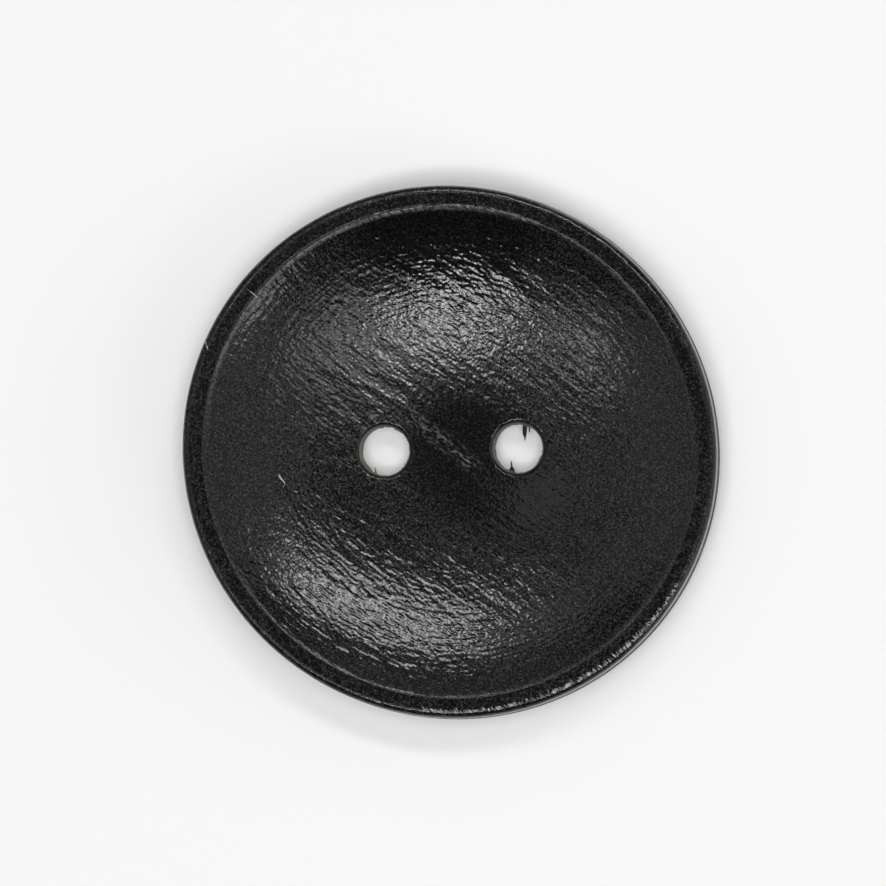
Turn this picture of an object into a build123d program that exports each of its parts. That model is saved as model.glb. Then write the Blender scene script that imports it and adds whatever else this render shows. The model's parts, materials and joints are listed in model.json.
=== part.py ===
"""Sew-through button, turned from wood and lacquered black.

Millimetres, +Z up.  The origin is the centre of the flat back, the face that lies on the cloth.
+X runs from one thread hole to the other and +Z points out of the dished front.
The button was turned round, and the wood has dried narrower across its grain, so its outline
and its dish are slightly oval.  The thread holes were drilled afterwards and are round.
"""
import os
from math import cos, radians, sin, tan

from build123d import *

# Turned disc: its diameter along the grain, and how far it shrank across the grain
DIAMETER = 30.0
THICKNESS = 4.4
CROSS_GRAIN_SHRINKAGE = 0.02
GRAIN_ANGLE = -39.0

# Dished front: one curve, level at the middle and steeper towards the rim, which it meets at
# DISH_WALL_ANGLE.  The two reaches say how far it keeps near the direction of each end.
DISH_DEPTH = 2.25
DISH_FLAT_RADIUS = 1.0
DISH_MIDDLE_REACH = 6.0
DISH_WALL_ANGLE = 28.0
DISH_WALL_REACH = 2.6

# Flat rim, with both its edges eased
RIM_INNER_RADIUS = 13.7
RIM_INNER_EASE = 1.0
RIM_OUTER_EASE = 0.4

# Back: a flat seat in the middle, and a bevel up to the side
BEVEL_WIDTH = 5.5
BEVEL_HEIGHT = 1.4
SEAT_EASE = 5.0
SIDE_FOOT_EASE = 0.6

# Thread holes, drilled as a pair a little off the button's middle, each with a light
# countersink at the front that only eases its mouth
HOLE_DIAMETER = 2.75
HOLE_SPACING = 7.4
HOLE_LINE_OFFSET = 0.15
COUNTERSINK_START_HEIGHT = 2.05
COUNTERSINK_ANGLE = 90.0

# Lacquer film over the front, the side and the bevel.  It stops short of the flat seat.
LACQUER_THICKNESS = 0.05
LACQUER_HEM_HEIGHT = 0.3

RADIUS = DIAMETER / 2
CROSS_GRAIN_SCALE = 1 - CROSS_GRAIN_SHRINKAGE
HOLE_RADIUS = HOLE_DIAMETER / 2
HOLE_PLACES = [(side * HOLE_SPACING / 2, HOLE_LINE_OFFSET, THICKNESS) for side in (-1, 1)]
COUNTERSINK_DEPTH = THICKNESS - COUNTERSINK_START_HEIGHT
COUNTERSINK_RADIUS = HOLE_RADIUS + COUNTERSINK_DEPTH * tan(radians(COUNTERSINK_ANGLE / 2))


def is_ring(edge):
    """Say whether an edge runs all the way round."""
    return edge.is_closed


def turned_form(film):
    """Return the turned shape, drawn in by film all over but on the seat."""
    radius = RADIUS - film
    rim_height = THICKNESS - film
    floor_height = rim_height - DISH_DEPTH

    wall_run = DISH_WALL_REACH * cos(radians(DISH_WALL_ANGLE))
    wall_rise = DISH_WALL_REACH * sin(radians(DISH_WALL_ANGLE))
    dish_bottom = (0, floor_height)
    dish_start = (DISH_FLAT_RADIUS, floor_height)
    middle_pole = (DISH_FLAT_RADIUS + DISH_MIDDLE_REACH, floor_height)
    wall_pole = (RIM_INNER_RADIUS - wall_run, rim_height - wall_rise)
    rim_inner = (RIM_INNER_RADIUS, rim_height)
    above_rim = (RIM_INNER_RADIUS + wall_run, rim_height + wall_rise)

    # The wood that the lathe takes out of the front, oval as the dish is now
    with BuildPart() as dish:
        with BuildSketch(Plane.XZ):
            with BuildLine():
                Line(dish_bottom, dish_start)
                Bezier(dish_start, middle_pole, wall_pole, rim_inner)
                Line(rim_inner, above_rim)
                Polyline(above_rim, (0, rim_height + wall_rise), dish_bottom)
            make_face()
        revolve(axis=Axis.Z)
        scale(by=(1, CROSS_GRAIN_SCALE, 1))

    with BuildPart() as form:
        with BuildSketch(Plane.XY):
            Ellipse(radius, radius * CROSS_GRAIN_SCALE, rotation=GRAIN_ANGLE)
        extrude(amount=rim_height)
        back_face = form.faces().sort_by(Axis.Z)[0]
        chamfer(back_face.edges(), BEVEL_WIDTH, BEVEL_HEIGHT + film, reference=back_face)
        seat_ring, side_foot_ring, rim_ring = form.edges().filter_by(is_ring).sort_by(Axis.Z)
        fillet(seat_ring, SEAT_EASE)
        fillet(side_foot_ring, SIDE_FOOT_EASE)
        fillet(rim_ring, RIM_OUTER_EASE)
        add(dish.part, rotation=(0, 0, GRAIN_ANGLE), mode=Mode.SUBTRACT)
        rim_top = form.faces().filter_by(GeomType.PLANE).sort_by(Axis.Z)[-1]
        fillet(rim_top.inner_wires().edges(), RIM_INNER_EASE)
    return form.part


lacquered_form = turned_form(film=0)
wood_form = turned_form(film=LACQUER_THICKNESS)

# The wooden disc: drawn in under the film, whole below its hem, and drilled with two holes
with BuildPart() as wood_body:
    add(lacquered_form)
    split(bisect_by=Plane.XY.offset(LACQUER_HEM_HEIGHT), keep=Keep.BOTTOM)
    add(wood_form)
    with Locations(*HOLE_PLACES):
        CounterSinkHole(HOLE_RADIUS, COUNTERSINK_RADIUS, counter_sink_angle=COUNTERSINK_ANGLE)
wood_body.part.label = "wood_body"

# The lacquer film: what the wood leaves of the whole form above the hem, drilled with it
with BuildPart() as lacquer_coat:
    add(lacquered_form)
    split(bisect_by=Plane.XY.offset(LACQUER_HEM_HEIGHT), keep=Keep.TOP)
    add(wood_form, mode=Mode.SUBTRACT)
    with Locations(*HOLE_PLACES):
        CounterSinkHole(HOLE_RADIUS, COUNTERSINK_RADIUS, counter_sink_angle=COUNTERSINK_ANGLE)
lacquer_coat.part.label = "lacquer_coat"

os.makedirs("parts", exist_ok=True)
export_step(wood_body.part, "parts/wood_body.step")
export_step(lacquer_coat.part, "parts/lacquer_coat.step")
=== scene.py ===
import json
import math

import bpy
import numpy as np
from mathutils import Matrix, Quaternion, Vector
from mathutils.geometry import delaunay_2d_cdt


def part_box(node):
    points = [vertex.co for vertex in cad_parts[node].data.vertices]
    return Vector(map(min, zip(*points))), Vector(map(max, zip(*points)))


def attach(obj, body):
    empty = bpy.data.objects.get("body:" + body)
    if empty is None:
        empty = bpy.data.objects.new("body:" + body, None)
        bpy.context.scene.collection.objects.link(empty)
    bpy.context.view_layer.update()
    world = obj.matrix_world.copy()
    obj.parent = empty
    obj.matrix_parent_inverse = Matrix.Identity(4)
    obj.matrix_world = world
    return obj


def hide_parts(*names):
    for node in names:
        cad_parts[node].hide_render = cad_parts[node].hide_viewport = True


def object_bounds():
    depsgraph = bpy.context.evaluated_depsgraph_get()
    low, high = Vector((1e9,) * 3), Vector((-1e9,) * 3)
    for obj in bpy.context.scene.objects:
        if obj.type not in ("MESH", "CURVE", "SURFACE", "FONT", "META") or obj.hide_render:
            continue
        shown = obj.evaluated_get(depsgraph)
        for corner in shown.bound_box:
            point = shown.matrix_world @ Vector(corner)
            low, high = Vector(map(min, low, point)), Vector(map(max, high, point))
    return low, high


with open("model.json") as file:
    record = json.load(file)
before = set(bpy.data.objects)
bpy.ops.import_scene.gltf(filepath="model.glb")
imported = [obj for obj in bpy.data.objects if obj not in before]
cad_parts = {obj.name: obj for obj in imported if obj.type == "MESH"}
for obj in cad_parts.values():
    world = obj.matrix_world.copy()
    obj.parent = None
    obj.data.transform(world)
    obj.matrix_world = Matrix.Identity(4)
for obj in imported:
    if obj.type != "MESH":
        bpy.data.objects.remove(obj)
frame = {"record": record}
cad_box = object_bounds()

# A sew-through button, turned from wood and lacquered black: the film, the wood under it, and
# the torn fibres and scuffs on it.  It lies on white paper under soft light.

# ---------------------------------------------------------------------------------------------
# The turned form, in millimetres, from the frame and the dimensions that it was turned to.
# "Round" coordinates are those of the lathe, before the wood shrank across its grain.
# ---------------------------------------------------------------------------------------------
MM = 0.001
GRAIN_ANGLE = math.radians(-39.0)
CROSS_GRAIN = 0.98

# Film: its thickness, and how far its outside is drawn in to leave room for relief, which
# stays within RELIEF_LIMIT of it
FILM = 0.05
RELIEF_ROOM = 0.02
RELIEF_LIMIT = 0.95 * RELIEF_ROOM

# Outline: its radius along the grain, the top of the rim, and the foot of the film
lacquer_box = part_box("lacquer_coat")
HALF_LENGTH = lacquer_box[1].x / MM
RADIUS = HALF_LENGTH / math.hypot(math.cos(GRAIN_ANGLE), CROSS_GRAIN * math.sin(GRAIN_ANGLE))
RIM_HEIGHT = lacquer_box[1].z / MM
HEM_HEIGHT = lacquer_box[0].z / MM

# Dish: a Bezier curve, by the radius and height of its poles, up to the flat rim
DISH_DEPTH = 2.25
DISH_FLOOR = RIM_HEIGHT - DISH_DEPTH
RIM_INNER = 13.7
WALL_ANGLE = 28.0
WALL_POLE = (11.4, RIM_HEIGHT - 1.22)
DISH_POLES = ((1.0, DISH_FLOOR), (7.0, DISH_FLOOR), WALL_POLE, (RIM_INNER, RIM_HEIGHT))
INNER_EASE = 1.0

# Rim and side: the side leans in by SIDE_DRAFT from its foot up to the outer ease.  The front's
# height is read off the profile by radius out to FRONT_REACH.
OUTER_EASE = 0.36
SIDE_DRAFT = 0.10
SIDE_LEAN = 2.6
RIM_OUTER = RADIUS - SIDE_DRAFT - OUTER_EASE
FRONT_REACH = RIM_OUTER + 0.2

# Back: the foot of the side, the bevel, and the ease from the bevel to the flat seat
SIDE_FOOT_HEIGHT = 1.4
FOOT_EASE = 0.6
BEVEL_WIDTH = 5.5
SEAT_EASE = 5.0

# Thread holes: how far their mouths are eased, and the sunk lip of film round each mouth
mounts = {mount["name"]: mount for mount in frame["record"]["mounts"]}
HOLES = [mounts[name] for name in ("thread_hole_left", "thread_hole_right")]
HOLE_CENTRES = [Vector(hole["pos_m"][:2]) / MM for hole in HOLES]
HOLE_RADIUS = HOLES[0]["dims"]["r_mm"]
MOUTH_EASE = 0.09
MOUTH_CHIPS = 0.02
MOUTH_WEAR = 0.015
LIP_WIDTH = 0.09
LIP_DROP = 0.024

# Relief of the film, and the small pit by the left hole
TURNING_RELIEF = 0.0040
RIDGE_RELIEF = 0.0085
HOLLOW_RELIEF = 0.0075
RIM_RELIEF_SHARE = 0.25
PIT_DEPTH = 0.03
PIT_PLACE = (-4.29, 1.84)
PIT_RADIUS = 0.25

rng = np.random.default_rng(48)


# ---------------------------------------------------------------------------------------------
# Small numeric tools
# ---------------------------------------------------------------------------------------------
NOISE_CELLS = 256


def fade(t):
    """A smooth step from 0 to 1 with no bend at either end."""
    return t**3 * (t * (t * 6 - 15) + 10)


def lattice_noise(u, v, seed):
    """Smooth value noise in -1..1 over a plane, one cell per unit."""
    table = np.random.default_rng(seed).uniform(-1.0, 1.0, (NOISE_CELLS, NOISE_CELLS))
    cell_u = np.floor(u).astype(int)
    cell_v = np.floor(v).astype(int)
    fade_u = fade(u - cell_u)
    fade_v = fade(v - cell_v)
    low_u = cell_u % NOISE_CELLS
    low_v = cell_v % NOISE_CELLS
    high_u = (cell_u + 1) % NOISE_CELLS
    high_v = (cell_v + 1) % NOISE_CELLS
    near = table[low_u, low_v] * (1 - fade_u) + table[high_u, low_v] * fade_u
    far = table[low_u, high_v] * (1 - fade_u) + table[high_u, high_v] * fade_u
    return near * (1 - fade_v) + far * fade_v


def layered_noise(u, v, seed, layers=3):
    """Value noise with finer, weaker layers on top, in about -1..1."""
    total = sum(lattice_noise(u * 2**k, v * 2**k, seed + k) / 2**k for k in range(layers))
    return total / (2 - 2 ** (1 - layers))


def smoothstep(low, high, value):
    """0 below low, 1 above high, and smooth between them."""
    t = np.clip((value - low) / (high - low), 0.0, 1.0)
    return t * t * (3 - 2 * t)


def arc(centre, radius, start, end, count):
    """Points on an arc, its angles in degrees."""
    angles = np.radians(np.linspace(start, end, count))
    return np.stack((centre[0] + radius * np.cos(angles), centre[1] + radius * np.sin(angles)), 1)


def bezier(poles, count):
    """Points on a cubic Bezier curve."""
    t = np.linspace(0.0, 1.0, count)[:, None]
    p0, p1, p2, p3 = (np.array(pole) for pole in poles)
    return (1 - t) ** 3 * p0 + 3 * (1 - t) ** 2 * t * p1 + 3 * (1 - t) * t**2 * p2 + t**3 * p3


def resample(points, spacing):
    """The same line, with points an even distance apart."""
    steps = np.hypot(*np.diff(points, axis=0).T)
    along = np.concatenate(([0.0], np.cumsum(steps)))
    count = max(2, int(round(along[-1] / spacing)) + 1)
    even = np.linspace(0.0, along[-1], count)
    return np.stack([np.interp(even, along, points[:, k]) for k in range(2)], 1)


# ---------------------------------------------------------------------------------------------
# Profile: height of the front by radius, then the rim, side and bevel as a line of (r, z)
# ---------------------------------------------------------------------------------------------
def turned_profile():
    """The outer line of the form from the dish's middle to the lacquer's hem."""
    wall = math.radians(WALL_ANGLE)
    ease_run = INNER_EASE * math.tan(wall / 2)
    dish = bezier(DISH_POLES, 400)
    dish = dish[dish[:, 0] < RIM_INNER - ease_run * math.cos(wall)]
    inner_centre = (RIM_INNER + ease_run, RIM_HEIGHT - INNER_EASE)
    inner = arc(inner_centre, INNER_EASE, 90 + WALL_ANGLE, 90, 20)
    outer = arc((RIM_OUTER, RIM_HEIGHT - OUTER_EASE), OUTER_EASE, 90, SIDE_LEAN, 20)
    bevel = math.atan2(SIDE_FOOT_HEIGHT, BEVEL_WIDTH)
    foot_run = FOOT_EASE * math.tan((math.pi / 2 - bevel) / 2)
    foot_centre = (RADIUS - FOOT_EASE, SIDE_FOOT_HEIGHT + foot_run)
    foot = arc(foot_centre, FOOT_EASE, SIDE_LEAN, math.degrees(bevel) - 90, 12)
    hem = np.array([[RADIUS - (SIDE_FOOT_HEIGHT - HEM_HEIGHT) / math.tan(bevel), HEM_HEIGHT]])
    start = np.array([[0.0, DISH_FLOOR]])
    return np.concatenate((start, dish, inner, outer, foot, hem))


PROFILE = turned_profile()
FRONT = PROFILE[: int(np.argmax(PROFILE[:, 0] > FRONT_REACH)) + 1]


def front_height(radius):
    """Height of the lacquered front at a radius in round coordinates."""
    return np.interp(radius, FRONT[:, 0], FRONT[:, 1])


def to_round(x, y):
    """Round coordinates, with the grain along the first, of places on the button."""
    c, s = math.cos(GRAIN_ANGLE), math.sin(GRAIN_ANGLE)
    return x * c + y * s, (-x * s + y * c) / CROSS_GRAIN


def from_round(u, v):
    """Places on the button of round coordinates."""
    c, s = math.cos(GRAIN_ANGLE), math.sin(GRAIN_ANGLE)
    v = v * CROSS_GRAIN
    return u * c - v * s, u * s + v * c


# ---------------------------------------------------------------------------------------------
# Relief: what the lathe, the grain and the years left on the surface, along its normal
# ---------------------------------------------------------------------------------------------
def turning_marks(u, v):
    """Rings left by the gouge in the dish: uneven, and fading towards the middle."""
    radius = np.hypot(u, v)
    drift = 0.35 * lattice_noise(u / 3.0, v / 3.0, 11)
    rings = layered_noise(radius / 0.34 + drift, np.full_like(radius, 7.3), 12, 2)
    patches = 0.45 + 0.55 * lattice_noise(u / 2.4 + 9, v / 2.4, 13)
    return rings * patches * smoothstep(4.0, 8.0, radius)


def grain_ridges(u, v):
    """Raised fibres that run with the grain, seen through the film."""
    wander = 0.5 * lattice_noise(u / 6.0, v / 4.0, 21)
    broad = layered_noise(u / 3.2, (v + wander) / 0.42, 22, 2)
    fine = lattice_noise(u / 1.1, (v + wander) / 0.2, 24)
    return 0.6 * broad + 0.4 * fine


def hollows(u, v):
    """Broad shallow unevenness from hand sanding, and the sinking of soft grain."""
    return layered_noise(u / 3.6 + 4, v / 2.6 + 4, 31, 3)


def pit(u, v):
    """The knot hole by the left thread hole, 1 in its middle."""
    pit_u, pit_v = to_round(*PIT_PLACE)
    return np.exp(-(((u - pit_u) ** 2 + (v - pit_v) ** 2) / PIT_RADIUS**2) ** 2)


def front_relief(u, v):
    """Relief of the front in millimetres, weaker on the rim than in the dish."""
    in_dish = 1 - smoothstep(RIM_INNER - 0.6, RIM_INNER, np.hypot(u, v))
    relief = TURNING_RELIEF * turning_marks(u, v)
    relief = relief + RIDGE_RELIEF * grain_ridges(u, v) + HOLLOW_RELIEF * hollows(u, v)
    share = RIM_RELIEF_SHARE + (1 - RIM_RELIEF_SHARE) * in_dish
    relief = relief * share - PIT_DEPTH * pit(u, v)
    return np.clip(relief, -RELIEF_LIMIT, RELIEF_LIMIT)


# ---------------------------------------------------------------------------------------------
# Meshes
# ---------------------------------------------------------------------------------------------
# Distance between the rows of a hexagonal grid, in spacings, and how close two points of a
# patch may be before they are taken as one
HEX_ROW = 0.866
MERGE_GAP = 1e-7


def hex_points(radius, spacing):
    """Places on a hexagonal grid inside a circle."""
    rows = int(radius / (spacing * HEX_ROW)) + 1
    points = []
    for row in range(-rows, rows + 1):
        y = row * spacing * HEX_ROW
        shift = 0.5 * spacing * (row % 2)
        count = int(radius / spacing) + 1
        points += [(k * spacing + shift, y) for k in range(-count, count + 1)]
    points = np.array(points)
    return points[np.hypot(*points.T) < radius - 0.6 * spacing]


def ring_angles(count):
    """Even angles round a full turn."""
    return np.arange(count) * (2 * math.pi / count)


def mouth_wobble(angles, side):
    """How much wider a chipped mouth is than a round one, in millimetres."""
    u = 2.0 * np.cos(angles) + 5 * side
    v = 2.0 * np.sin(angles)
    return MOUTH_CHIPS * layered_noise(u, v, 61, 2) + MOUTH_WEAR


def hole_loops(radius, count, chipped):
    """The edges of the two holes as places on the button."""
    angles = ring_angles(count)
    loops = []
    for side, centre in enumerate(HOLE_CENTRES):
        reach = radius + (mouth_wobble(angles, side) if chipped else 0.0)
        x = centre.x + reach * np.cos(angles)
        y = centre.y + reach * np.sin(angles)
        loops.append(np.stack((x, y), 1))
    return loops


def middle_patch(outer_radius, outer_count, hole_radius, hole_count, spacing, chipped=True):
    """Triangles for the disc between a round outer ring and the two holes.

    Returns places on the button, triangles, and the index of the first point of each loop.
    """
    angles = ring_angles(outer_count)
    outer = np.stack(from_round(outer_radius * np.cos(angles), outer_radius * np.sin(angles)), 1)
    loops = [outer] + hole_loops(hole_radius, hole_count, chipped)
    grid = np.stack(from_round(*hex_points(outer_radius, spacing).T), 1)
    for centre in HOLE_CENTRES:
        gap = np.hypot(*(grid - np.array(centre)).T)
        grid = grid[gap > hole_radius + 0.04 + 0.5 * spacing]
    points = np.concatenate(loops + [grid])
    starts = np.cumsum([0] + [len(loop) for loop in loops])[:3]
    edges = []
    for start, loop in zip(starts, loops):
        edges += [(start + k, start + (k + 1) % len(loop)) for k in range(len(loop))]
    made = delaunay_2d_cdt([Vector(p) for p in points], edges, [], 0, MERGE_GAP)
    places = np.array([tuple(p) for p in made[0]])
    triangles = np.array(made[2])
    keep = np.ones(len(triangles), bool)
    for start in starts[1:]:
        on_hole = (triangles >= start) & (triangles < start + hole_count)
        keep &= ~on_hole.all(axis=1)
    return places, triangles[keep], starts


def offset_line(line, amount):
    """The line moved sideways by amount, towards the outside of the form."""
    steps = np.gradient(line, axis=0)
    normals = np.stack((-steps[:, 1], steps[:, 0]), 1)
    normals /= np.hypot(*normals.T)[:, None]
    return line + amount * normals, normals


def ring_band(line, count, relief=None):
    """Points of a turned band: one ring of count points for each (r, z) of the line."""
    normals = offset_line(line, 0.0)[1]
    angles = ring_angles(count)
    c, s = np.cos(angles)[None, :], np.sin(angles)[None, :]
    lift = np.zeros((len(line), count))
    if relief:
        lift = relief(line[:, :1] * c, line[:, :1] * s)
    radius = line[:, :1] + lift * normals[:, :1]
    height = line[:, 1:] + lift * normals[:, 1:]
    x, y = from_round(radius * c, radius * s)
    return np.stack((x, y, np.broadcast_to(height, x.shape)), 2).reshape(-1, 3)


def strip(first, second):
    """Quads between two closed loops of the same number of vertex numbers."""
    after_first = np.roll(first, -1)
    after_second = np.roll(second, -1)
    return np.stack((first, second, after_second, after_first), 1).tolist()


class Skin:
    """Vertices and faces of one mesh, in millimetres, while it is put together."""

    def __init__(self):
        self.points = []
        self.faces = []
        self.count = 0

    def add_points(self, points):
        """Add points and return their numbers."""
        numbers = np.arange(self.count, self.count + len(points))
        self.points.append(np.asarray(points, float))
        self.count += len(points)
        return numbers

    def add_rings(self, points, per_ring, start, flip=False):
        """Add rings of quads after the loop start, and return the last loop."""
        last = start
        for ring in points.reshape(-1, per_ring, 3):
            numbers = self.add_points(ring)
            self.bridge(last, numbers, flip)
            last = numbers
        return last

    def bridge(self, first, second, flip=False):
        """Join two loops with quads."""
        pair = (second, first) if flip else (first, second)
        self.faces += strip(*pair)

    def build(self, name):
        """Make the Blender object, shaded smooth."""
        mesh = bpy.data.meshes.new(name)
        mesh.from_pydata((np.concatenate(self.points) * MM).tolist(), [], self.faces)
        mesh.validate()
        mesh.polygons.foreach_set("use_smooth", [True] * len(mesh.polygons))
        piece = bpy.data.objects.new(name, mesh)
        bpy.context.scene.collection.objects.link(piece)
        return piece


def add_patch(skin, patch, height, flip=False):
    """Add a middle patch at a height given by place, and return its three loops."""
    places, triangles, starts = patch
    numbers = skin.add_points(np.column_stack((places, height(*places.T))))
    corners = numbers[triangles]
    skin.faces += (corners[:, ::-1] if flip else corners).tolist()
    ends = list(starts[1:]) + [starts[2] + starts[2] - starts[1]]
    return [numbers[start:end] for start, end in zip(starts, ends)]


# Radius of the middle patch, the points round each ring, and the spacing of the points.  The
# first row of spacings is for the film's outside, and the second for its inside and the wood.
PATCH_RADIUS = 6.4
RING_POINTS = 600
HOLE_POINTS = 120
DISH_SPACING, RIM_SPACING, SIDE_SPACING, PATCH_SPACING = 0.115, 0.08, 0.3, 0.1
COARSE_DISH, COARSE_RIM, COARSE_SIDE, COARSE_PATCH = 1.2, 0.25, 0.8, 0.5


def profile_between(low, high, spacing, line):
    """The part of a line between two distances along it, with even points."""
    steps = np.concatenate(([0.0], np.cumsum(np.hypot(*np.diff(line, axis=0).T))))
    inside = (steps > low + 1e-6) & (steps < high - 1e-6)
    ends = np.array([[np.interp(d, steps, line[:, k]) for k in range(2)] for d in (low, high)])
    return resample(np.concatenate((ends[:1], line[inside], ends[1:])), spacing)


def along_to(line, radius):
    """Distance along a line at which it first reaches a radius."""
    steps = np.concatenate(([0.0], np.cumsum(np.hypot(*np.diff(line, axis=0).T))))
    return steps[int(np.argmax(line[:, 0] >= radius))]


def lacquer_line(inset, dish_spacing, rim_spacing, side_spacing):
    """The profile outside the middle patch, drawn in by inset."""
    line = offset_line(PROFILE, -inset)[0]
    start = along_to(line, PATCH_RADIUS)
    dish_end = along_to(line, RIM_INNER - 0.4)
    rim_end = along_to(line, RADIUS - SIDE_DRAFT - inset - 0.01) + 0.1
    hem = np.hypot(*np.diff(line, axis=0).T).sum()
    dish = profile_between(start, dish_end, dish_spacing, line)
    rim = profile_between(dish_end, rim_end, rim_spacing, line)
    side = profile_between(rim_end, hem, side_spacing, line)
    return np.concatenate((dish, rim[1:], side[1:]))


def make_lacquer():
    """The film: a detailed outside, a plain inside, closed at its hem and its two mouths."""
    skin = Skin()
    mouth = HOLE_RADIUS + MOUTH_EASE

    def outside(x, y):
        u, v = to_round(x, y)
        gap = np.min([np.hypot(x - centre.x, y - centre.y) for centre in HOLE_CENTRES], axis=0)
        lip = 1 - smoothstep(mouth, mouth + LIP_WIDTH, gap)
        relief = front_relief(u, v) * (1 - lip) - LIP_DROP * lip
        return front_height(np.hypot(u, v)) - RELIEF_ROOM + relief

    def inside(x, y):
        return front_height(np.hypot(*to_round(x, y))) - FILM

    fine = middle_patch(PATCH_RADIUS, RING_POINTS, mouth, HOLE_POINTS, PATCH_SPACING)
    coarse = middle_patch(PATCH_RADIUS, RING_POINTS, mouth, HOLE_POINTS, COARSE_PATCH)
    front_loops = add_patch(skin, fine, outside)
    back_loops = add_patch(skin, coarse, inside, flip=True)

    line = lacquer_line(RELIEF_ROOM, DISH_SPACING, RIM_SPACING, SIDE_SPACING)[1:]
    hem = skin.add_rings(ring_band(line, RING_POINTS, front_relief), RING_POINTS, front_loops[0])
    line = lacquer_line(FILM, COARSE_DISH, COARSE_RIM, COARSE_SIDE)[1:]
    inner_hem = skin.add_rings(ring_band(line, RING_POINTS), RING_POINTS, back_loops[0], flip=True)
    skin.bridge(hem, inner_hem)
    for front, back in zip(front_loops[1:], back_loops[1:]):
        skin.bridge(back, front)
    return skin.build("lacquer_film")


# Wood: points round each ring, spacing of its two flat patches, and rows down each drilled wall
WOOD_POINTS = 360
WOOD_TOP_SPACING = 0.4
WOOD_BACK_SPACING = 0.16
EASE_ROWS = 6
WALL_ROWS = 18

# Torn fibre in the drilled walls, and the relief of the bare back
TEAR_DEPTH = 0.03
TUFT_DEPTH = 0.10
FACING_RELIEF = 0.004
BACK_GRAIN_RELIEF = 0.006
BACK_SINK = 0.01


def bore_roughness(angle, depth, seed):
    """How far torn fibres stand into a drilled hole, in millimetres."""
    around = angle * HOLE_RADIUS
    tear = layered_noise(around / 0.35 + seed, depth / 0.5, 41 + seed, 3)
    return TEAR_DEPTH * tear + TUFT_DEPTH * np.clip(tear - 0.25, 0, 1)


def seat_relief(u, v):
    """The back: faint facing rings, and open grain."""
    radius = np.hypot(u, v)
    rings = layered_noise(radius / 0.5, np.full_like(radius, 3.1), 51, 2)
    facing = FACING_RELIEF * rings * smoothstep(0.6, 2.0, radius)
    return facing + BACK_GRAIN_RELIEF * grain_ridges(u, v) - BACK_SINK


def seat_line():
    """The line of the bare back, from the film's hem in to the middle patch."""
    seat_radius = RADIUS - BEVEL_WIDTH
    bevel = math.atan2(SIDE_FOOT_HEIGHT, BEVEL_WIDTH)
    ease_run = SEAT_EASE * math.tan(bevel / 2)
    ease = arc((seat_radius - ease_run, SEAT_EASE), SEAT_EASE, math.degrees(bevel) - 90, -90, 8)
    flat = np.array([[PATCH_RADIUS, 0.0]])
    return resample(np.concatenate((PROFILE[-1:], ease, flat)), WOOD_BACK_SPACING)


def add_bore(skin, side, top_loop, back_loop):
    """Add the eased mouth and the torn wall of one drilled hole between two loops."""
    centre = HOLE_CENTRES[side]
    angles = ring_angles(HOLE_POINTS)
    ease = MOUTH_EASE + mouth_wobble(angles, side)
    top = np.concatenate(skin.points)[top_loop]
    last = top_loop
    for row in range(1, EASE_ROWS + WALL_ROWS):
        eased = min(row / EASE_ROWS, 1.0)
        turn = eased * math.pi / 2
        depth = MOUTH_EASE * (1 - math.cos(turn))
        fall = max(row - EASE_ROWS, 0) / WALL_ROWS
        height = (top[:, 2] - depth) * (1 - fall)
        torn = bore_roughness(angles, height, side) * eased
        radius = HOLE_RADIUS + ease * (1 - math.sin(turn)) - torn
        x = centre.x + radius * np.cos(angles)
        y = centre.y + radius * np.sin(angles)
        numbers = skin.add_points(np.column_stack((x, y, height)))
        skin.bridge(numbers, last)
        last = numbers
    skin.bridge(back_loop, last)


def make_wood():
    """The turned disc under the film: its front, the two drilled walls and the bare back."""
    skin = Skin()
    mouth = HOLE_RADIUS + MOUTH_EASE
    top_patch = middle_patch(PATCH_RADIUS, WOOD_POINTS, mouth, HOLE_POINTS, WOOD_TOP_SPACING)
    back_patch = middle_patch(
        PATCH_RADIUS, WOOD_POINTS, HOLE_RADIUS, HOLE_POINTS, WOOD_BACK_SPACING, chipped=False
    )

    def under_film(x, y):
        return front_height(np.hypot(*to_round(x, y))) - FILM

    def back(x, y):
        return -seat_relief(*to_round(x, y))

    top_loops = add_patch(skin, top_patch, under_film)
    line = lacquer_line(FILM, COARSE_DISH, COARSE_RIM, COARSE_SIDE)[1:]
    edge = skin.add_rings(ring_band(line, WOOD_POINTS), WOOD_POINTS, top_loops[0])

    band = ring_band(seat_line(), WOOD_POINTS, seat_relief)
    seat_edge = skin.add_rings(band[:-WOOD_POINTS], WOOD_POINTS, edge)
    back_loops = add_patch(skin, back_patch, back, flip=True)
    skin.bridge(seat_edge, back_loops[0])

    for side in range(len(HOLE_CENTRES)):
        add_bore(skin, side, top_loops[side + 1], back_loops[side + 1])
    for side, widths, path in SPLINTERS:
        centre = HOLE_CENTRES[side]
        path = np.array(path) + (centre.x, centre.y, 0.0)
        add_sliver(skin, path, widths, SPLINTER_THICKNESS)
    add_hole_fuzz(skin)
    return skin.build("turned_wood")


# ---------------------------------------------------------------------------------------------
# Splinters in the thread holes, torn fibres on the rim, and scuffs
# ---------------------------------------------------------------------------------------------
SLIVER_SIDES = 6
SURFACE_GAP = 0.004
SPLINTER_THICKNESS = 0.12
FUZZ_THICKNESS = 0.05
FUZZ_ROOT = 0.06
FIBRE_THICKNESS = 0.02

# Torn stretch of the rim's outer edge, in degrees from +X
TORN_START = -97.0
TORN_END = -31.0

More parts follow.
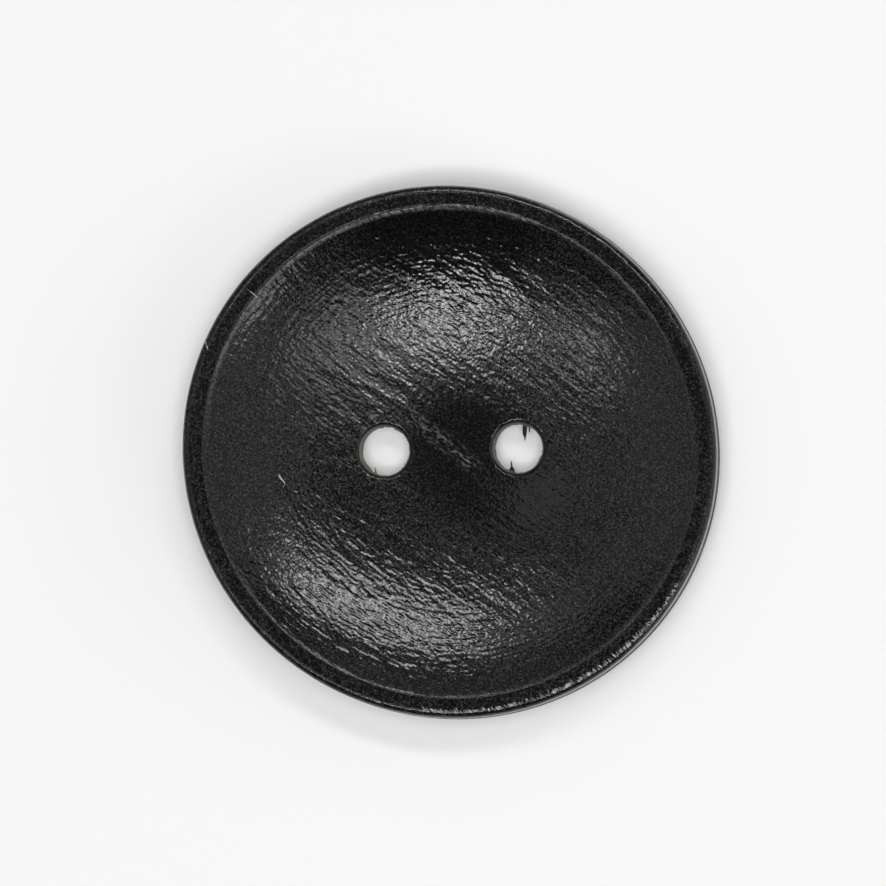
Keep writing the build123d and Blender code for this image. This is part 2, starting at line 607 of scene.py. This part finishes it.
# Splinters: hole number, width along it, and its path from that hole's centre
SPLINTERS = (
    (1, (0.27, 0.27, 0.25, 0.22, 0.11, 0.02),
     ((0.40, 1.50, 1.8), (0.40, 1.28, 1.75), (0.37, 1.02, 1.7), (0.36, 0.8, 1.66),
      (0.375, 0.62, 1.63), (0.37, 0.41, 1.6))),
    (1, (0.10, 0.08, 0.05), ((0.64, 1.32, 1.6), (0.625, 1.1, 1.58), (0.615, 0.88, 1.55))),
    (1, (0.50, 0.40, 0.26, 0.11, 0.08, 0.03),
     ((-0.43, -1.48, 0.9), (-0.43, -1.31, 0.92), (-0.43, -1.15, 0.95), (-0.43, -1.0, 0.97),
      (-0.435, -0.84, 1.0), (-0.44, -0.67, 1.02))),
    (0, (0.09, 0.06, 0.02), ((-0.60, -1.34, 0.8), (-0.62, -1.1, 0.8), (-0.66, -0.86, 0.8))),
)

# Scuffs on the lacquer: width along each, and its path on the button
SCUFFS = (
    ((0.10, 0.12, 0.07, 0.05, 0.06, 0.03),
     ((-9.55, -1.02), (-9.50, -1.16), (-9.40, -1.32), (-9.26, -1.45), (-9.22, -1.60),
      (-9.33, -1.76))),
    ((0.02, 0.03, 0.05, 0.05), ((-11.0, 9.22), (-10.8, 9.05), (-10.6, 8.9), (-10.42, 8.72))),
    ((0.05, 0.08, 0.08, 0.05), ((-13.38, 6.45), (-13.33, 6.27), (-13.28, 6.09), (-13.22, 5.9))),
    ((0.02, 0.04, 0.03), ((0.45, -0.2), (0.77, -0.42), (1.08, -0.63))),
    ((0.02, 0.03, 0.02), ((-1.9, 1.75), (-1.5, 1.42), (-1.15, 1.18))),
    ((0.02, 0.03, 0.02), ((-0.9, 1.2), (-0.5, 0.88), (-0.1, 0.6))),
)


def add_sliver(skin, path, widths, thickness):
    """Add a closed, tapering sliver along a path."""
    path = np.array(path, float)
    along = np.gradient(path, axis=0)
    across = np.cross(along, (0.0, 0.0, 1.0))
    across /= np.linalg.norm(across, axis=1)[:, None]
    up = np.cross(across, along)
    up /= np.linalg.norm(up, axis=1)[:, None]
    angles = ring_angles(SLIVER_SIDES)
    loops = []
    for place, side, top, width in zip(path, across, up, widths):
        reach = 0.5 * width * np.outer(np.cos(angles), side)
        rise = 0.5 * min(width, thickness) * np.outer(np.sin(angles), top)
        loops.append(skin.add_points(place + reach + rise))
    for first, second in zip(loops, loops[1:]):
        skin.bridge(first, second)
    skin.faces += [loops[0].tolist(), loops[-1][::-1].tolist()]


def on_lacquer(path, thickness):
    """A path on the button lifted so that a sliver along it lies on the lacquer."""
    x, y = np.array(path, float).T
    u, v = to_round(x, y)
    film = front_height(np.hypot(u, v)) - RELIEF_ROOM + front_relief(u, v)
    height = np.minimum(film + SURFACE_GAP, RIM_HEIGHT - SURFACE_GAP - thickness / 2)
    return np.column_stack((x, y, height))


def add_hole_fuzz(skin, count=26):
    """Add short torn fibres round the drilled walls, most of them on the side that tore."""
    for side, centre in enumerate(HOLE_CENTRES):
        for _ in range(count):
            angle = rng.normal(-95.0, 50.0) if rng.random() < 0.75 else rng.uniform(0.0, 360.0)
            angle = math.radians(angle)
            length = 0.04 + 0.09 * rng.random() ** 2
            lean = rng.normal(0.0, 0.4)
            out = np.array((math.cos(angle), math.sin(angle)))
            inward = -np.array((math.cos(angle + lean), math.sin(angle + lean)))
            root = np.array(centre) + (HOLE_RADIUS + FUZZ_ROOT) * out
            height = rng.uniform(0.3, 1.8)
            reach = (FUZZ_ROOT + length) * inward
            path = [(*(root + step * reach), height) for step in (0.0, 0.5, 1.0)]
            width = rng.uniform(0.06, 0.13)
            add_sliver(skin, path, (width, 0.7 * width, 0.2 * width), FUZZ_THICKNESS)


def make_torn_fibres(count=330):
    """Pale fibres torn up along the rim's outer edge where the cutter met end grain, and scuffs."""
    skin = Skin()
    grain = np.array((math.cos(GRAIN_ANGLE), math.sin(GRAIN_ANGLE)))
    for _ in range(count):
        turn = math.radians(rng.uniform(TORN_START, TORN_END))
        torn = 0.5 + 0.5 * float(lattice_noise(np.array(turn * 9.0), np.array(3.3), 71))
        turned = turn - GRAIN_ANGLE
        radius = RIM_OUTER + 0.09 * math.cos(turned) ** 4 + rng.uniform(-0.06, 0.06)
        length = 0.07 + 0.13 * rng.random() + 0.25 * torn**3 * rng.random()
        end = np.array(from_round(radius * math.cos(turned), radius * math.sin(turned)))
        lean = np.array((-grain[1], grain[0])) * rng.normal(0.0, 0.25)
        steps = np.linspace(0.0, 1.0, 4)[:, None]
        path = end - steps * length * (grain + lean)
        width = rng.uniform(0.03, 0.06)
        widths = (0.6 * width, width, 0.8 * width, 0.2 * width)
        add_sliver(skin, on_lacquer(path, FIBRE_THICKNESS), widths, FIBRE_THICKNESS)
    for widths, path in SCUFFS:
        add_sliver(skin, on_lacquer(path, FIBRE_THICKNESS), widths, FIBRE_THICKNESS)
    return skin.build("torn_fibres")


# ---------------------------------------------------------------------------------------------
# Materials
# ---------------------------------------------------------------------------------------------
class Nodes:
    """Short names for building a material's node tree."""

    def __init__(self, name):
        self.material = bpy.data.materials.new(name)
        self.material.use_nodes = True
        self.tree = self.material.node_tree
        self.tree.nodes.clear()
        self.shader = self.add("ShaderNodeBsdfPrincipled")
        output = self.add("ShaderNodeOutputMaterial")
        self.link(self.shader.outputs[0], output.inputs["Surface"])

    def add(self, kind, inputs=None, **settings):
        """A node, with its settings and its input values or links."""
        node = self.tree.nodes.new(kind)
        for key, value in settings.items():
            setattr(node, key, value)
        for key, value in (inputs or {}).items():
            self.feed(node, key, value)
        return node

    def feed(self, node, key, value):
        """Set an input, or link it when the value is another node's output."""
        if isinstance(value, bpy.types.NodeSocket):
            self.link(value, node.inputs[key])
        else:
            node.inputs[key].default_value = value

    def link(self, source, target):
        """Join two sockets."""
        self.tree.links.new(source, target)

    def math(self, operation, first, second=0.0, clamp=False):
        """A Math node's result."""
        node = self.add("ShaderNodeMath", {0: first, 1: second}, operation=operation)
        node.use_clamp = clamp
        return node.outputs[0]

    def times(self, product, *factors):
        """Values multiplied together."""
        for factor in factors:
            product = self.math("MULTIPLY", product, factor)
        return product

    def share(self, mask, amount):
        """1 where a mask is 0, and amount where it is 1."""
        return self.ramp(mask, 0.0, 1.0, 1.0, amount)

    def length(self, vector):
        """The length of a vector."""
        node = self.add("ShaderNodeVectorMath", {0: vector}, operation="LENGTH")
        return node.outputs["Value"]

    def distance(self, vector, place):
        """How far a vector is from a place."""
        node = self.add("ShaderNodeVectorMath", {0: vector, 1: place}, operation="DISTANCE")
        return node.outputs["Value"]

    def place(self):
        """Object coordinates, in metres."""
        return self.add("ShaderNodeTexCoord").outputs["Object"]

    def millimetres(self):
        """Object coordinates in millimetres, with the grain along X."""
        scaled = self.add("ShaderNodeMapping", {"Vector": self.place(), "Scale": (1 / MM,) * 3})
        scaled.inputs["Rotation"].default_value = (0, 0, -GRAIN_ANGLE)
        return scaled.outputs[0]

    def stretched(self, vector, scale, shift=(0, 0, 0)):
        """A vector scaled axis by axis."""
        node = self.add("ShaderNodeMapping", {"Vector": vector, "Scale": scale, "Location": shift})
        return node.outputs[0]

    def noise(self, vector, scale=1.0, detail=2.0, roughness=0.5):
        """A noise texture's value."""
        values = {"Vector": vector, "Scale": scale, "Detail": detail, "Roughness": roughness}
        return self.add("ShaderNodeTexNoise", values).outputs["Fac"]

    def ramp(self, value, low, high, to_low=0.0, to_high=1.0):
        """A value mapped and clamped from one range to another."""
        values = {0: value, 1: low, 2: high, 3: to_low, 4: to_high}
        return self.add("ShaderNodeMapRange", values, interpolation_type="SMOOTHSTEP").outputs[0]

    def blend(self, factor, first, second):
        """A colour between two."""
        node = self.add("ShaderNodeMix", data_type="RGBA")
        self.feed(node, 0, factor)
        self.feed(node, 6, first)
        self.feed(node, 7, second)
        return node.outputs[2]

    def bump(self, height, distance):
        """A bumped normal; distance is in millimetres."""
        values = {"Height": height, "Distance": distance * MM, "Strength": 1.0}
        return self.add("ShaderNodeBump", values).outputs[0]


# Lacquer: places with the first axis along the grain.  The film is smoother round the middle,
# where less dust colour darkens it as painted shade.  One part of the dish is darkened by less
# dust colour as painted shade, and is smoother there.  A grey band between the holes is painted
# sheen, and a grey stretch of the rim's inner edge is a painted highlight.
MIDDLE_SHIFT = (-1.3, -0.7, 0)
# Middle of the patch of the dish that is darkened as painted shade
PAINTED_SHADE_PLACE = (-7.8, 9.6, RIM_HEIGHT)
# Offset across the grain of the band of painted sheen between the holes
SHEEN_BAND_ACROSS = 0.2
# Middle of the stretch of the rim's inner edge that gets a painted highlight
HIGHLIGHT_ARC_PLACE = (-13.2, 3.8, RIM_HEIGHT)
LACQUER_IOR = 1.56
LACQUER_BUMP = 0.023
POLISHED = 0.11
POROUS = 0.23
BLACK = (0.001, 0.001, 0.001, 1)
DUST = (0.036, 0.036, 0.035, 1)
# Grey of the painted sheen between the holes and of the painted highlight on the rim's inner edge
PAINTED_SHEEN_GREY = (0.10, 0.10, 0.097, 1)

# Noise of the turned rings: cells to the millimetre outwards, and to the radian round them
RINGS_OUTWARD = 5.0
RINGS_AROUND = 9.0

# Wood and torn fibre, each from its darker colour to its lighter one, and the paper
DYED_WOOD = ((0.004, 0.0035, 0.0035, 1), (0.016, 0.013, 0.012, 1))
DRILLED_WOOD = ((0.055, 0.043, 0.035, 1), (0.22, 0.18, 0.15, 1))
TORN_FIBRE = ((0.14, 0.12, 0.11, 1), (0.50, 0.50, 0.48, 1))
PAPER = (0.88, 0.88, 0.88, 1)


class LacquerPlaces:
    """Where the lacquer differs: values in a material's nodes, the masks from 0 to 1."""

    def __init__(self, n):
        self.grain = n.millimetres()
        split = n.add("ShaderNodeSeparateXYZ", {0: self.grain})
        self.along, self.across, self.height = split.outputs
        self.radial = n.length(n.stretched(self.grain, (1, 1 / CROSS_GRAIN, 0)))
        self.from_middle = n.length(n.stretched(self.grain, (0.75, 1.15, 0), MIDDLE_SHIFT))
        self.add_rim(n)
        self.add_painted_sheen_and_shade(n)

    def add_rim(self, n):
        """The side, the rim's outer edge, its inner ease, and the flat between them."""
        side_top = RIM_HEIGHT - OUTER_EASE
        low = n.ramp(self.height, side_top - 0.1, side_top + 0.02, 1.0, 0.0)
        outside = n.ramp(self.radial, RADIUS - 1.0, RADIUS - 0.7)
        self.side = n.times(low, outside)
        front = n.ramp(self.height, 2.0, 2.6)
        edge = n.ramp(self.radial, RIM_OUTER - 0.08, RIM_OUTER + 0.03)
        self.edge = n.times(n.math("SUBTRACT", edge, self.side), front)
        ease = n.times(n.ramp(self.radial, RIM_INNER - 0.35, RIM_INNER - 0.1), front)
        past_ease = n.ramp(self.radial, RIM_INNER, RIM_INNER + 0.12)
        self.inner_ease = n.math("SUBTRACT", ease, past_ease, True)
        self.flat_rim = n.times(n.ramp(self.radial, RIM_INNER - 0.5, RIM_INNER + 0.1), front)
        worn = n.math("MAXIMUM", self.edge, self.inner_ease)
        self.even_rim = n.math("SUBTRACT", self.flat_rim, worn, True)

    def add_painted_sheen_and_shade(self, n):
        """The band of painted sheen between the holes, and all outside the patch of painted shade,
        with the flat rim.
        """
        # Painted sheen: a band between the holes, coloured grey
        from_sheen_band = n.math("ABSOLUTE", n.math("SUBTRACT", self.across, SHEEN_BAND_ACROSS))
        starts = n.ramp(self.along, -3.8, -2.8)
        ends = n.ramp(self.along, 1.0, 2.2)
        narrow = n.ramp(from_sheen_band, 0.1, 0.75, 1.0, 0.0)
        self.band = n.times(n.math("SUBTRACT", starts, ends), narrow)
        # Painted shade: round this place the dish gets less dust colour, so it is darker; its film
        # is smoother too
        from_painted_shade = n.distance(self.grain, PAINTED_SHADE_PLACE)
        self.outside_painted_shade = n.math("MAXIMUM", n.ramp(from_painted_shade, 3.0, 7.0), self.flat_rim)


def turned_rings(n, at):
    """Fine rings round the button's middle, fading in away from it."""
    ring_x = n.times(n.math("DIVIDE", at.along, at.radial), RINGS_AROUND)
    ring_y = n.times(n.math("DIVIDE", at.across, at.radial), RINGS_AROUND)
    ring_r = n.times(at.radial, RINGS_OUTWARD)
    polar = n.add("ShaderNodeCombineXYZ", {0: ring_r, 1: ring_x, 2: ring_y}).outputs[0]
    return n.times(n.noise(polar, 1.0, 0.0), n.ramp(at.radial, 5.0, 9.0))


def lacquer_normal(n, at):
    """Raised fibres, sanding speckle, long ridges with the grain, and turned rings."""
    fibres = n.noise(n.stretched(at.grain, (2.6, 5.8, 5.8)), 1.0, 0.0)
    speckle = n.noise(at.grain, 6.4, 0.0)
    ridges = n.noise(n.stretched(at.grain, (0.4, 2.1, 2.1)), 1.0, 1.0)
    relief = n.times(fibres, 0.65)
    for layer, weight in ((speckle, 0.42), (ridges, 1.3), (turned_rings(n, at), 0.75)):
        relief = n.math("ADD", relief, n.times(layer, weight))
    smoother_middle = n.ramp(at.from_middle, 2.5, 5.5, 0.5, 1.0)
    relief = n.times(relief, smoother_middle, n.share(at.even_rim, 0.2), n.share(at.side, 0.0))
    return n.bump(relief, LACQUER_BUMP)


def lacquer_colour(n, at):
    """Black, with dust in the open grain, less of it as painted shade, and grey painted sheen and
    painted highlight.
    """
    dust_and_painted_shade = n.ramp(n.noise(at.grain, 9.0, 1.0), 0.42, 0.78)
    # Painted shade: the middle gets less dust colour, which darkens it
    painted_shade_middle = n.ramp(at.from_middle, 2.5, 5.5, 0.5, 1.0)
    # Painted shade: one patch of the dish gets less dust colour, which darkens it
    painted_shade_share = n.ramp(at.outside_painted_shade, 0.0, 1.0, 0.3, 1.0)
    # Dust colour, lessened as painted shade in the middle and in one patch of the dish
    dust_and_painted_shade = n.times(dust_and_painted_shade, painted_shade_middle, n.share(at.flat_rim, 0.8), painted_shade_share)

    # Streaks that break up the painted sheen and the painted highlight
    sheen_streaks = n.noise(n.stretched(at.grain, (3.5, 6.5, 6.5)), 1.0, 1.0)
    # Painted sheen: grey streaks in the band between the holes
    band = n.times(n.ramp(sheen_streaks, 0.45, 0.80), at.band)
    # Painted highlight: grey streaks along one stretch of the rim's inner edge
    arc_reach = n.ramp(n.distance(at.grain, HIGHLIGHT_ARC_PLACE), 6.0, 13.0, 0.8, 0.0)
    arris = n.math("POWER", at.inner_ease, 4.0)
    painted_highlight_arc = n.times(arc_reach, n.ramp(sheen_streaks, 0.30, 0.60), arris)
    return n.blend(n.math("MAXIMUM", band, painted_highlight_arc), n.blend(dust_and_painted_shade, BLACK, DUST), PAINTED_SHEEN_GREY)


def lacquer_roughness(n, at):
    """Polished spots and pores between the fibres, worn rim edges, and a duller lower side."""
    polish = n.ramp(n.noise(at.grain, 7.0, 1.0), 0.35, 0.65, POLISHED, POROUS)
    glossier_middle = n.ramp(at.from_middle, 2.0, 5.0, 0.6, 1.0)
    painted_shade_share = n.ramp(at.outside_painted_shade, 0.0, 1.0, 0.8, 1.0)
    polish = n.times(polish, glossier_middle, n.share(at.flat_rim, 0.75), painted_shade_share)
    polish = n.math("ADD", polish, n.times(at.edge, 0.05))
    polish = n.math("ADD", polish, n.times(at.inner_ease, 0.13))
    lower_side = n.times(at.side, n.ramp(at.height, 2.7, 3.5, 0.8, 0.25))
    return n.math("MAXIMUM", polish, lower_side)


def lacquer_material():
    """Satin black lacquer over fine wood grain."""
    n = Nodes("satin_black_lacquer")
    at = LacquerPlaces(n)
    n.feed(n.shader, "Normal", lacquer_normal(n, at))
    n.feed(n.shader, "Base Color", lacquer_colour(n, at))
    n.feed(n.shader, "Roughness", lacquer_roughness(n, at))
    n.feed(n.shader, "IOR", LACQUER_IOR)
    return n.material


def drilled_walls(n):
    """A mask for the walls of the thread holes."""
    place = n.place()
    walls = []
    for centre in HOLE_CENTRES:
        around = n.stretched(place, (1 / MM, 1 / MM, 0), (-centre.x, -centre.y, 0))
        gap = n.length(around)
        inner = n.ramp(gap, HOLE_RADIUS - 0.12, HOLE_RADIUS - 0.08)
        outer = n.ramp(gap, HOLE_RADIUS + 0.02, HOLE_RADIUS + 0.06)
        walls.append(n.math("SUBTRACT", inner, outer))
    return n.math("MAXIMUM", *walls)


def wood_material():
    """Black-dyed hardwood, brown and bare where the drill cut it."""
    n = Nodes("dyed_hardwood")
    grain = n.millimetres()
    fibres = n.noise(n.stretched(grain, (1.2, 8.0, 8.0)), 1.0, 4.0, 0.6)
    brown = n.blend(fibres, *DRILLED_WOOD)
    dyed = n.blend(fibres, *DYED_WOOD)
    n.feed(n.shader, "Base Color", n.blend(drilled_walls(n), dyed, brown))
    n.feed(n.shader, "Roughness", n.ramp(fibres, 0.3, 0.7, 0.5, 0.7))
    n.feed(n.shader, "Normal", n.bump(fibres, 0.03))
    return n.material


def fibre_material():
    """Bare wood fibre, torn through the lacquer and greyed."""
    n = Nodes("bare_fibre")
    grain = n.millimetres()
    shade = n.noise(grain, 3.5, 2.0)
    grey = n.ramp(shade, 0.35, 0.65)
    n.feed(n.shader, "Base Color", n.blend(grey, *TORN_FIBRE))
    n.feed(n.shader, "Roughness", n.ramp(shade, 0.3, 0.7, 0.55, 0.75))
    return n.material


def paper_material():
    """The plain pale floor."""
    n = Nodes("white_paper")
    n.feed(n.shader, "Base Color", PAPER)
    n.feed(n.shader, "Roughness", 0.9)
    n.feed(n.shader, "Specular IOR Level", 0.1)
    return n.material


# ---------------------------------------------------------------------------------------------
# Studio: floor, lights and camera
# ---------------------------------------------------------------------------------------------
FLOOR_HALF = 1.5
VIEW_TILT = math.radians(4.0)
VIEW_SIDE = math.radians(-18.0)
VIEW_ROLL = math.radians(1.1)
LENS = 300.0
SENSOR = 36.0
PICTURE_WIDTH = 48.83
AIM_SHIFT = (0.31, 0.467)
LIGHT_DISTANCE = 0.6

# World: brightness near the horizon and overhead, and the heights that it changes between
HORIZON_LIGHT = 0.35
CEILING_LIGHT = 0.03
HORIZON_TOP = 0.10
CEILING_START = 0.30


def make_floor():
    """A large flat sheet under the button."""
    corners = [(-FLOOR_HALF, -FLOOR_HALF), (FLOOR_HALF, -FLOOR_HALF)]
    corners += [(FLOOR_HALF, FLOOR_HALF), (-FLOOR_HALF, FLOOR_HALF)]
    mesh = bpy.data.meshes.new("floor")
    mesh.from_pydata([(x, y, cad_box[0].z) for x, y in corners], [], [(0, 1, 2, 3)])
    floor = bpy.data.objects.new("floor", mesh)
    bpy.context.scene.collection.objects.link(floor)
    mesh.materials.append(paper_material())


def tangent(degrees):
    """The tangent of an angle in degrees."""
    return math.tan(math.radians(degrees))


def softbox(name, tilt_x, tilt_y, width, height, radiance, turn=0.0):
    """An area light at a tilt from the zenith, its size in degrees as the button sees it."""
    away = Vector((tangent(tilt_x), tangent(tilt_y), 1)).normalized()
    light = bpy.data.lights.new(name, "AREA")
    light.shape = "RECTANGLE"
    light.size = 2 * LIGHT_DISTANCE * tangent(width / 2)
    light.size_y = 2 * LIGHT_DISTANCE * tangent(height / 2)
    light.energy = radiance * math.pi * light.size * light.size_y
    lamp = bpy.data.objects.new(name, light)
    side = Vector((0, 1, 0)).cross(away).normalized()
    side.rotate(Quaternion(away, math.radians(turn)))
    up = away.cross(side)
    lamp.matrix_world = Matrix((side, up, away)).transposed().to_4x4()
    lamp.location = away * LIGHT_DISTANCE
    lamp.visible_camera = False
    bpy.context.scene.collection.objects.link(lamp)
    return lamp


def make_world():
    """A pale horizon under a dark ceiling."""
    world = bpy.data.worlds.new("studio")
    bpy.context.scene.world = world
    world.use_nodes = True
    tree = world.node_tree
    place = tree.nodes.new("ShaderNodeTexCoord")
    split = tree.nodes.new("ShaderNodeSeparateXYZ")
    ramp = tree.nodes.new("ShaderNodeMapRange")
    limits = (HORIZON_TOP, CEILING_START, HORIZON_LIGHT, CEILING_LIGHT)
    for socket, limit in zip(ramp.inputs[1:5], limits):
        socket.default_value = limit
    tree.links.new(place.outputs["Generated"], split.inputs[0])
    tree.links.new(split.outputs[2], ramp.inputs[0])
    tree.links.new(ramp.outputs[0], tree.nodes["Background"].inputs["Strength"])
    tree.nodes["Background"].inputs["Color"].default_value = (1, 1, 1, 1)


def make_lights():
    """Two large softboxes, and cards that shape the sheen of the dish and the rim."""
    softbox("south_softbox", -5, -15.6, 13, 6.6, 12.5)
    softbox("south_left_spot", 8, -12.5, 6, 7, 2.5)
    softbox("south_left_far_spot", 13, -17, 7, 7, 3.5)
    softbox("south_near_card", 4, -8, 10, 8, 1.1)
    softbox("south_right_spot", -23, -14, 7, 7, 5.0)
    softbox("north_softbox", 8, 24.5, 30, 6.4, 9.7, turn=-15)
    softbox("north_west_card", -15, 6, 13, 11, 0.5)
    softbox("north_west_high_card", -18, 27, 14, 14, 0.6)
    for step in range(4):
        softbox(f"east_strip_{step}", 20 + 10 * step, 0, 5, 50, 0.65)
        softbox(f"west_strip_{step}", -30 - 9 * step, 0, 4, 50, 0.75)
    softbox("overhead_card", -4, 4, 12, 7, 0.05)
    softbox("north_card", 0, 52, 60, 22, 0.2)
    softbox("south_east_card", 42, -37, 18, 10, 3.5)
    softbox("east_low_card", 66, -8, 60, 14, 1.5, turn=90)


def make_fill():
    """A light that evens the paper and is kept out of the lacquer's reflections."""
    fill = softbox("paper_fill", 1, -4, 26, 26, 8.15)
    fill.visible_glossy = False


def make_camera():
    """The view from almost straight above, leaning a little towards +X and less towards -Y."""
    centre = Vector((0, 0, cad_box[1].z))
    lean = math.sin(VIEW_TILT)
    back = Vector((lean * math.cos(VIEW_SIDE), lean * math.sin(VIEW_SIDE), math.cos(VIEW_TILT)))
    right = Vector((0, 1, 0)).cross(back).normalized()
    up = back.cross(right)
    c, s = math.cos(VIEW_ROLL), math.sin(VIEW_ROLL)
    right, up = right * c - up * s, right * s + up * c
    aim = centre - right * AIM_SHIFT[0] * MM + up * AIM_SHIFT[1] * MM
    data = bpy.data.cameras.new("camera")
    data.lens = LENS
    data.sensor_width = SENSOR
    camera = bpy.data.objects.new("camera", data)
    camera.matrix_world = Matrix((right, up, back)).transposed().to_4x4()
    camera.location = aim + back * PICTURE_WIDTH * MM * LENS / SENSOR
    bpy.context.scene.collection.objects.link(camera)
    bpy.context.scene.camera = camera


lacquer = make_lacquer()
lacquer.data.materials.append(lacquer_material())
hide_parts("lacquer_coat")
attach(lacquer, "root")

wood = make_wood()
wood.data.materials.append(wood_material())
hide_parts("wood_body")
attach(wood, "root")

fibres = make_torn_fibres()
fibres.data.materials.append(fibre_material())
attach(fibres, "root")

make_floor()
make_world()
make_lights()
make_fill()
make_camera()
bpy.context.scene.view_settings.view_transform = "Standard"
